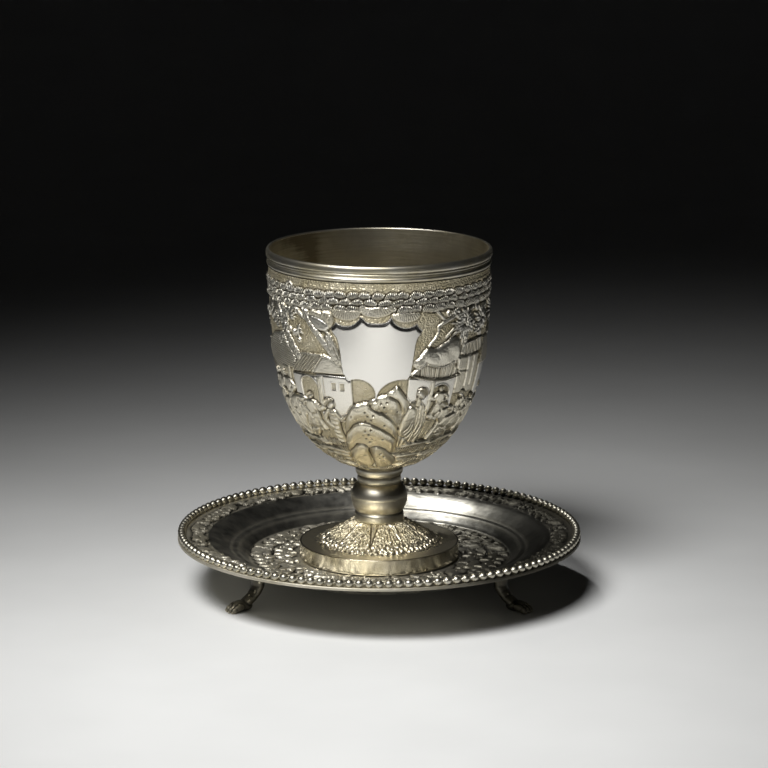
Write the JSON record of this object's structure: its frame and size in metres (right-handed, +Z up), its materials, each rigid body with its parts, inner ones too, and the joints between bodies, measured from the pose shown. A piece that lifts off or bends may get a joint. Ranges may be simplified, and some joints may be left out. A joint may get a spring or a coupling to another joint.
{
  "type": "kiddush cup on a footed saucer",
  "caption": "Footed ceremonial wine cup of chased silver with a vacant shield, standing on its own beaded saucer with paw feet.",
  "frame": {"origin": "on the table under the axis of the cup, at the middle of the saucer", "axes": "+Z up along the cup's axis; the vacant shield faces -Y; +X is to the right of someone facing the shield"},
  "size_m": [0.135, 0.135, 0.1169],
  "materials": {
    "polished_silver": "burnished, lightly tarnished",
    "chased_silver": "chased and matted, dark in the recesses",
    "tarnished_silver": "smooth with a grey tarnish"
  },
  "bodies": {
    "root": {"rim_moulding": "polished_silver", "cup_bowl": "chased_silver", "stem_knop": "polished_silver", "foot_dome": "chased_silver", "foot_ring": "polished_silver", "saucer_dish": "tarnished_silver", "beaded_rim": "chased_silver", "paw_foot_1": "tarnished_silver", "paw_foot_2": "tarnished_silver", "paw_foot_3": "tarnished_silver"}
  },
  "joints": []
}
